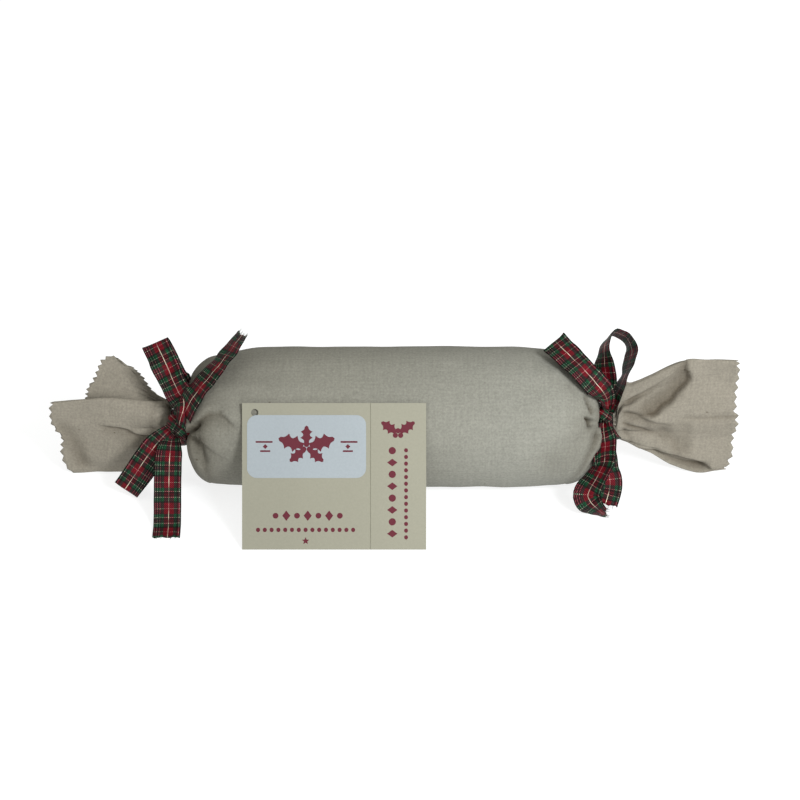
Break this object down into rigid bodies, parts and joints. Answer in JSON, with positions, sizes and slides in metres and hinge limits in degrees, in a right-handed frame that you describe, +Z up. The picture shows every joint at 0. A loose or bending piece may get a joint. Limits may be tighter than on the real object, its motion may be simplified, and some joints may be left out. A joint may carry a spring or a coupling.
{
  "type": "christmas pudding",
  "caption": "Log-shaped festive pudding wrapped in a calico cloth that is gathered into frills at both ends, tied with tartan ribbon bows, with a plain folding card tag",
  "frame": {"origin": "middle of the small flat spot that the roll rests on, under the middle of its axis", "axes": "+X along the roll towards the right-hand frill, +Y away from the tag, +Z up"},
  "size_m": [0.3729, 0.1083, 0.0857],
  "materials": {
    "calico": "matt unbleached cotton",
    "ribbon": "woven tartan, slight sheen",
    "card": "matt card",
    "label": "pale smooth panel",
    "print": "dark red print"
  },
  "bodies": {
    "root": {"wrapped_pudding": "calico", "ribbon_left": "ribbon", "ribbon_right": "ribbon", "tag_card": "card"}
  },
  "joints": []
}
